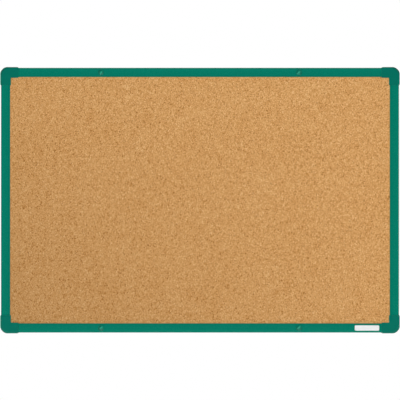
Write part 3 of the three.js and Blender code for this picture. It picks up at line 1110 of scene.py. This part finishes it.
class NOTICEBOARD_OT_rails(bpy.types.Operator):
    """Make the four rails as lengths of one extrusion"""

    bl_idname = "notice_board.rails"
    bl_label = "Rails"

    def execute(self, context):
        finish = rail_finish()
        measures = {side: self.measures(side, finish) for side in SIDES}
        shape = self.extrusion(measures["bottom"])
        for quarter, side in enumerate(SIDES):
            near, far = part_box(f"{side}_rail")
            axis = "x" if side in ("left", "right") else "z"
            outer = max(abs(getattr(near, axis)), abs(getattr(far, axis)))
            mesh = shape.grown(measures[side])
            mesh.transform(quarter_turns(quarter) @ shift(0, RAIL_FRONT, -outer))
            add_piece(f"rail_{side}", mesh, finish, "board", [f"{side}_rail"])
        return {"FINISHED"}

    def measures(self, side, finish):
        """All sizes of one rail, of which only the long ones have holes for wall screws"""
        sizes = settings().rail
        near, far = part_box(f"{side}_rail")
        screw = centre("screw_bottom_left_bottom")
        plug = centre("plug_bottom_left")
        rail_length = max(far.x - near.x, far.z - near.z)
        long = side in ("bottom", "top")
        return {
            "length": rail_length,
            "face": RAIL_FACE,
            "depth": RAIL_DEPTH,
            "groove_rear": groove_rear() - RAIL_FRONT,
            **picked(sizes, "wall", "chamber", "lip", "edge_radius", "lip_radius", "burr", "steps"),
            **picked(sizes, "screw_hole", "sides"),
            "screw_holes_apart": rail_length - 2 * (screw.x - RAIL_LOW.x),
            "screw_line": screw.z - RAIL_LOW.z,
            "wall_holes_apart": -2 * plug.x if long else 0.0,
            "wall_line": plug.z - RAIL_LOW.z,
            "wall_hole": sizes.wall_hole if long else 0.0,
            "shank_hole": sizes.shank_hole if long else 0.0,
            "finish": finish,
        }

    def extrusion(self, measures):
        """An extrusion along X with its outer edge at z = 0 and its front at y = 0"""
        shape = Shape("Rail extrusion", measures)
        size = shape.size
        wall = size.wall
        web = wall * 2 + size.chamber
        behind = size.depth + OVERRUN
        inward = size.face + OVERRUN
        lip_rear = size.groove_rear + size.lip
        through_wall = wall * 1.5
        front = (-OVERRUN, through_wall)
        rear = (size.depth - through_wall, behind)
        cutters = [
            self.cutter(shape, (wall, size.depth - wall), (wall, wall + size.chamber)),
            self.cutter(shape, (wall, size.groove_rear), (web, inward)),
            self.cutter(shape, (lip_rear, behind), (web, inward)),
            self.drill(shape, size.screw_holes_apart, size.screw_line, size.screw_hole, rear),
            self.drill(shape, size.wall_holes_apart, size.wall_line, size.wall_hole, front),
            self.drill(shape, size.wall_holes_apart, size.wall_line, size.shank_hole, rear),
        ]
        return shape.finish(shape.cut(self.swept_bar(shape), cutters, crossing=True))

    def swept_bar(self, shape):
        """A bar of the rail's outer section, with its edges rounded"""
        size = shape.size
        lip_corner, edge_corner = 0, 3
        near_enough = 0.1
        corners = ((0, -size.face), (size.depth, -size.face), (size.depth, 0), (0, 0))
        sockets = {f"Point {i + 1}": shape.point(*corner) for i, corner in enumerate(corners)}
        four_points = {"mode": "POINTS"}
        outline = shape.node("GeometryNodeCurvePrimitiveQuadrilateral", four_points, sockets)["Curve"]
        index = shape.node("GeometryNodeInputIndex")["Index"]
        is_lip = shape.math("COMPARE", index, lip_corner, near_enough)
        is_edge = shape.math("COMPARE", index, edge_corner, near_enough)
        front = is_lip * size.lip_radius + is_edge * size.edge_radius
        radius = front + (1 - is_lip - is_edge) * size.burr
        sockets = {"Curve": outline, "Count": size.steps, "Radius": radius}
        section = shape.node("GeometryNodeFilletCurve", {"mode": "POLY"}, sockets)["Curve"]
        sockets = {"Start": shape.point(size.length / 2), "End": shape.point(size.length / -2)}
        path = shape.node("GeometryNodeCurvePrimitiveLine", None, sockets)["Curve"]
        sockets = {"Curve": path, "Profile Curve": section, "Fill Caps": True}
        return shape.node("GeometryNodeCurveToMesh", None, sockets)["Mesh"]

    def cutter(self, shape, depths, heights):
        """A bar to cut away along the whole rail, between two depths and two heights"""
        (near, far), (low, high) = depths, heights
        bar = shape.box(shape.size.length + OVERRUN, far - near, high - low)
        middle = shape.point(0, (near + far) / 2, (low + high) / 2)
        return shape.moved(bar, Translation=middle)

    def drill(self, shape, apart, line, radius, depths):
        """Two round cutters along Y, side by side about the rail's middle"""
        near, far = depths
        sockets = {"Vertices": shape.size.sides, "Radius": radius, "Depth": far - near}
        rod = shape.node("GeometryNodeMeshCylinder", None, sockets)["Mesh"]
        turned = shape.moved(rod, Rotation=(math.pi / 2, 0, 0))
        start = shape.point(apart / -2, (near + far) / 2, line)
        sockets = {"Count": 2, "Start Location": start, "Offset": shape.point(apart)}
        places = shape.node("GeometryNodeMeshLine", None, sockets)["Mesh"]
        return shape.realized(shape.on_points(places, turned))


class NOTICEBOARD_OT_corner_pieces(bpy.types.Operator):
    """Mould the four corner pieces"""

    bl_idname = "notice_board.corner_pieces"
    bl_label = "Corner pieces"

    def execute(self, context):
        finish = corner_finish()
        level = shift(CORNER_LOW.x, 0, CORNER_LOW.z)
        upright = shift(CORNER_LOW.z, 0, CORNER_LOW.x)
        places = [quarter_turns(i) @ (upright if i % 2 else level) for i in range(len(CORNERS))]
        for corner, mesh in zip(CORNERS, spread(self.moulding(), places)):
            name = f"corner_cap_{corner}"
            add_piece(name, mesh, finish, "board", [f"corner_{corner}"])
        return {"FINISHED"}

    def moulding(self):
        """The bottom left corner piece, with its outer corner at the origin"""
        sizes = settings().corner
        front, rear = CORNER_LOW.y, CORNER_HIGH.y
        beyond = rear + OVERRUN * 2
        plain = prism(self.outline(), front, rear, sizes.small_radius)
        square = self.outer_outline(rear - front)
        soft = prism(square, front, beyond, sizes.edge_radius, sizes.steps)
        dome = prism(self.dome_outline(), front, beyond, sizes.dome_radius, sizes.steps)
        shell = combined("INTERSECT", plain, soft, dome)
        pockets = (self.rail_space(upright=False), self.rail_space(upright=True))
        shell = combined("DIFFERENCE", shell, *pockets, self.panel_space())
        line = RAIL_INSET + settings().rail.wall + settings().rail.chamber / 2
        standing = Matrix.Rotation(-math.pi / 2, 4, "Y")
        along = (shift(0, 0, line), shift(line, 0, 0) @ standing)
        shell = combined("UNION", shell, *spread(self.spigot(), along))
        screws = [centre(f"screw_bottom_left_{arm}") - CORNER_LOW for arm in ("bottom", "left")]
        places = [shift(screw.x, 0, screw.z) for screw in screws]
        return combined("DIFFERENCE", shell, *spread(self.screw_space(), places))

    def outer_arc(self, middle, radius):
        """The arc round the outer corner, in finer steps than the other roundings"""
        return arc((middle, middle), radius, 2, 3, settings().corner.steps * 3)

    def outline(self):
        """The corner piece seen from the front, with a taper at the end of each arm"""
        sizes = settings().corner
        inside = RAIL_INSET + RAIL_FACE + sizes.fit + sizes.inner_wall
        middle = inside + sizes.inside_radius
        return [
            *self.outer_arc(sizes.radius, sizes.radius),
            (sizes.arm - sizes.taper_length, 0),
            (sizes.arm, sizes.taper_step),
            (sizes.arm, inside),
            *arc((middle, middle), sizes.inside_radius, 3, 2, sizes.steps),
            (inside, sizes.arm),
            (sizes.taper_step, sizes.arm),
            (0, sizes.arm - sizes.taper_length),
        ]

    def outer_outline(self, more):
        """The same outer corner on a larger square, for a softer outer edge"""
        sizes = settings().corner
        reach = sizes.arm + more
        return [*self.outer_arc(sizes.radius, sizes.radius), (reach, 0), (reach, reach), (0, reach)]

    def dome_outline(self):
        """A wider corner that meets the outer corner at its middle and leaves the arms free"""
        sizes = settings().corner
        out = (sizes.dome_corner - sizes.radius) * (1 - math.sqrt(0.5))
        reach = sizes.arm * 2
        free = ((reach, -sizes.radius), (reach, reach), (-sizes.radius, reach))
        return [*self.outer_arc(sizes.dome_corner - out, sizes.dome_corner), *free]

    def rail_space(self, upright):
        """What a rail takes out of the corner piece, with a fit all round"""
        sizes = settings().corner
        rail = settings().rail
        fit = sizes.fit
        depth = RAIL_DEPTH + fit
        face = RAIL_FACE + fit
        edge = rail.edge_radius + fit
        lip = rail.lip_radius + fit
        section = [
            (depth, -fit),
            (depth, face),
            *arc((lip - fit, face - lip), lip, 1, 2, sizes.pocket_steps),
            *arc((edge - fit, edge - fit), edge, 2, 3, sizes.pocket_steps),
        ]
        ends = []
        start = RAIL_INSET + RAIL_FACE
        for along in (start, start + sizes.arm):
            end = [(along, RAIL_FRONT + deep, RAIL_INSET + up) for deep, up in section]
            ends.append([(z, y, x) for x, y, z in end] if upright else end)
        return to_mesh("rail_space", stretched(*ends)[0])

    def panel_space(self):
        """What the panel's corner takes out of the corner piece"""
        rail = settings().rail
        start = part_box("cork_facing")[0].x - CORNER_LOW.x - rail.panel_play
        reach = settings().corner.arm * 2
        return block((start, RAIL_FRONT + rail.wall, start), (reach, groove_rear(), reach))

    def spigot(self):
        """One spigot along X, centred on z = 0: two flanges, a web, two ribs and a chamfered tip"""
        sizes = settings().corner
        rail = settings().rail
        half = rail.chamber / 2 - sizes.fit
        front = RAIL_FRONT + rail.wall + sizes.fit
        rear = RAIL_FRONT + RAIL_DEPTH - rail.wall - sizes.fit
        block_end = RAIL_INSET + RAIL_FACE
        root = block_end - OVERRUN
        tip = block_end + sizes.spigot
        lead_start = tip - sizes.lead
        web = block((root, front, -sizes.web / 2), (lead_start, rear, sizes.web / 2))
        parts = [
            block((root, front, -half), (lead_start, front + sizes.flange, half)),
            block((root, rear - sizes.flange, -half), (lead_start, rear, half)),
        ]
        for third in (1, 2):
            start = block_end + sizes.spigot * third / 3
            parts.append(block((start, front, -half), (start + sizes.rib, rear, half)))
        lead = [
            (lead_start - sizes.rib, half),
            (lead_start - sizes.rib, -half),
            (lead_start, -half),
            (tip, sizes.lead - half),
            (tip, half - sizes.lead),
            (lead_start, half),
        ]
        return combined("UNION", web, *parts, prism(lead, front, rear))

    def screw_space(self):
        """The countersunk hole for a screw, open at the rear"""
        sizes = settings().screw
        low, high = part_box("screw_bottom_left_bottom")
        head = sizes.head_radius + sizes.fit
        shank = sizes.shank_radius + sizes.fit
        profile = [
            (0, high.y + OVERRUN),
            (head, high.y + OVERRUN),
            (head, high.y),
            (shank, high.y - (sizes.head_radius - sizes.shank_radius)),
            (shank, low.y + sizes.tip),
            (0, low.y - sizes.fit),
        ]
        return lathe(profile, sizes.sides)


class NOTICEBOARD_OT_corner_screws(bpy.types.Operator):
    """Put a countersunk screw with a cross recess in each arm of the corner pieces"""

    bl_idname = "notice_board.corner_screws"
    bl_label = "Corner screws"

    def execute(self, context):
        sizes = settings().screw
        nodes = sorted(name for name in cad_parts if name.startswith("screw_"))
        low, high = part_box(nodes[0])
        points = bpy.data.meshes.new("screw_places")
        points.from_pydata([(centre(node).x, high.y, centre(node).z) for node in nodes], [], [])
        finish = zinc_finish()
        measures = {
            "points": points,
            "length": high.y - low.y,
            **picked(sizes, "head_radius", "shank_radius", "core_radius", "pitch", "tip"),
            **picked(sizes, "recess_span", "recess_width", "recess_depth"),
            **picked(sizes, "sides", "rings", "seed"),
            "finish": finish,
        }
        mesh = self.screws(measures).grown(measures)
        add_piece("corner_screws", mesh, finish, "board", nodes)
        return {"FINISHED"}

    def screws(self, measures):
        """One screw along Y, its head at y = 0, set at each of the points and turned at random"""
        shape = Shape("Corner screws", measures)
        size = shape.size
        body = self.threaded_body(shape)
        deep = size.recess_depth * 2
        body = shape.cut(body, shape.box(size.recess_span, deep, size.recess_width))
        body = shape.cut(body, shape.box(size.recess_width, deep, size.recess_span))
        sockets = {2: 0.0, 3: math.pi / 2, "Seed": size.seed}
        turn = shape.node("FunctionNodeRandomValue", {"data_type": "FLOAT"}, sockets)[1]
        return shape.finish(shape.on_points(size.points, body, shape.point(y=turn)))

    def threaded_body(self, shape):
        """A grid wrapped round Y: a flat face, a countersunk head, a thread and a point"""
        thread_from, thread_full = 1.0, 1.6
        size = shape.size
        grid = shape.grid(1.0, 1.0, size.sides + 1, size.rings)
        x, y, _ = shape.parts(shape.node("GeometryNodeInputPosition")["Position"])
        round_share = x + 0.5
        ring = (y + 0.5) * (size.rings - 1)
        deep = shape.math("MAXIMUM", ring - 1, 0) / (size.rings - 2) * size.length
        neck = size.head_radius - size.shank_radius
        phase = shape.math("FRACT", deep / size.pitch - round_share + 1)
        cut_in = shape.smooth_step(deep / neck, thread_from, thread_full)
        crest = shape.math("ABSOLUTE", phase * 2 - 1) * cut_in
        shank = size.core_radius + (size.shank_radius - size.core_radius) * crest
        point = shape.math("MINIMUM", (size.length - deep) / size.tip, 1)
        radius = shape.math("MAXIMUM", size.head_radius - deep, shank * point) * (ring > 0.5)
        turn = round_share * math.tau
        across = radius * shape.math("COSINE", turn)
        up = radius * shape.math("SINE", turn)
        return shape.merged(shape.reshaped(grid, Position=shape.point(across, -deep, up)))


class NOTICEBOARD_OT_hole_plugs(bpy.types.Operator):
    """Turn the four push-in plugs"""

    bl_idname = "notice_board.hole_plugs"
    bl_label = "Hole plugs"

    def execute(self, context):
        finish = plug_finish()
        centres = [centre(f"plug_{name}") for name in PLUGS]
        places = [shift(spot.x, RAIL_FRONT, spot.z) for spot in centres]
        for name, mesh in zip(PLUGS, spread(self.turned_plug(), places)):
            nodes = [f"plug_{name}"]
            body = f"{name}_plug"
            piece = add_piece(f"hole_plug_{name}", mesh, finish, body, nodes)
            bpy.data.collections["plugs"].objects.link(piece)
        return {"FINISHED"}

    def turned_plug(self):
        """A domed head in front of y = 0 and a hollow stem behind it, with two crossed slots"""
        sizes = settings().plug
        rail = settings().rail
        low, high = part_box("plug_top_left")
        radius = (high.x - low.x) / 2
        stem_end = high.y - RAIL_FRONT
        stem = rail.wall_hole - sizes.stem_fit
        profile = [
            *self.head(radius, RAIL_FRONT - low.y),
            (radius, 0),
            (stem, 0),
            *self.bulge(stem),
            (stem - sizes.stem_lead, stem_end),
            (sizes.bore, stem_end),
            (sizes.bore, rail.wall),
            (0, rail.wall),
        ]
        thin = sizes.slot / 2
        far = stem_end * 2
        slit = rail.wall + sizes.bulge_gap / 2
        return combined(
            "DIFFERENCE",
            lathe(profile, sizes.sides),
            block((-radius, slit, -thin), (radius, far, thin)),
            block((-thin, slit, -radius), (thin, far, radius)),
        )

    def head(self, radius, height):
        """The dome's profile, from the axis out, and the rounding that leads to its rim"""
        sizes = settings().plug
        soft = sizes.rim_radius
        slope = math.asin((radius - soft) / (1 - soft / sizes.dome) / sizes.dome)
        middle = sizes.dome - height
        turns = [slope * i / sizes.steps for i in range(sizes.steps)]
        dome = [(sizes.dome * math.sin(a), middle - sizes.dome * math.cos(a)) for a in turns]
        rim_y = middle - (sizes.dome - soft) * math.cos(slope)
        start = slope / (math.pi / 2) - 1
        return [*dome, *arc((radius - soft, rim_y), soft, start, 0, sizes.steps // 2)]

    def bulge(self, stem):
        """The profile of the swelling that holds the stem in its hole"""
        sizes = settings().plug
        rail = settings().rail
        swell = rail.wall_hole - sizes.bulge_fit - stem
        start = rail.wall + sizes.bulge_gap
        shares = [i / sizes.bulge_steps for i in range(sizes.bulge_steps + 1)]
        return [
            (stem + swell * math.sin(math.pi * share), start + sizes.bulge_length * share)
            for share in shares
        ]


class NOTICEBOARD_OT_badge(bpy.types.Operator):
    """Make the bare plate on the bottom rail"""

    bl_idname = "notice_board.badge"
    bl_label = "Badge"

    def execute(self, context):
        sizes = settings().badge
        low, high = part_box("blank_badge")
        plate = prism(self.outline(0.0), low.y, high.y, sizes.edge, sizes.edge_steps)
        middle = prism(self.outline(sizes.rim), low.y - MM, low.y + sizes.sunk)
        mesh = combined("DIFFERENCE", plate, middle)
        add_piece("badge_plate", mesh, badge_finish(), "board", ["blank_badge"])
        return {"FINISHED"}

    def outline(self, inset):
        """A rectangle with rounded corners, drawn in from the plate's sides"""
        sizes = settings().badge
        low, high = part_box("blank_badge")
        radius = sizes.radius - inset
        left = low.x + inset + radius
        right = high.x - inset - radius
        bottom = low.z + inset + radius
        top = high.z - inset - radius
        centres = ((right, top), (left, top), (left, bottom), (right, bottom))
        corners = [arc(spot, radius, i, i + 1, sizes.steps) for i, spot in enumerate(centres)]
        return [point for corner in corners for point in corner]


OPERATORS = (
    NOTICEBOARD_OT_stage,
    NOTICEBOARD_OT_cork_sheet,
    NOTICEBOARD_OT_panel_backing,
    NOTICEBOARD_OT_rails,
    NOTICEBOARD_OT_corner_pieces,
    NOTICEBOARD_OT_corner_screws,
    NOTICEBOARD_OT_hole_plugs,
    NOTICEBOARD_OT_badge,
)


class NOTICEBOARD_PT_sidebar(bpy.types.Panel):
    """Lists the notice board's pieces"""

    bl_label = "Notice board"
    bl_idname = "NOTICEBOARD_PT_sidebar"
    bl_space_type = "VIEW_3D"
    bl_region_type = "UI"
    bl_category = "Notice board"

    def draw(self, context):
        for operator in OPERATORS:
            self.layout.operator(operator.bl_idname)


CLASSES = (
    RailSizes,
    CornerSizes,
    ScrewSizes,
    PlugSizes,
    BadgeSizes,
    CorkSizes,
    Colours,
    StageSizes,
    BoardSettings,
    *OPERATORS,
    NOTICEBOARD_PT_sidebar,
)


def register():
    """Adds the classes, and the board's settings to every scene"""
    for item in CLASSES:
        bpy.utils.register_class(item)
    bpy.types.Scene.notice_board = PointerProperty(type=BoardSettings)


def unregister():
    """Takes out what register has added"""
    del bpy.types.Scene.notice_board
    for item in reversed(CLASSES):
        bpy.utils.unregister_class(item)


def main():
    """Makes every piece in order"""
    register()
    bpy.ops.notice_board.stage()
    bpy.ops.notice_board.cork_sheet()
    bpy.ops.notice_board.panel_backing()
    bpy.ops.notice_board.rails()
    bpy.ops.notice_board.corner_pieces()
    bpy.ops.notice_board.corner_screws()
    bpy.ops.notice_board.hole_plugs()
    bpy.ops.notice_board.badge()


if __name__ == "__main__":
    main()
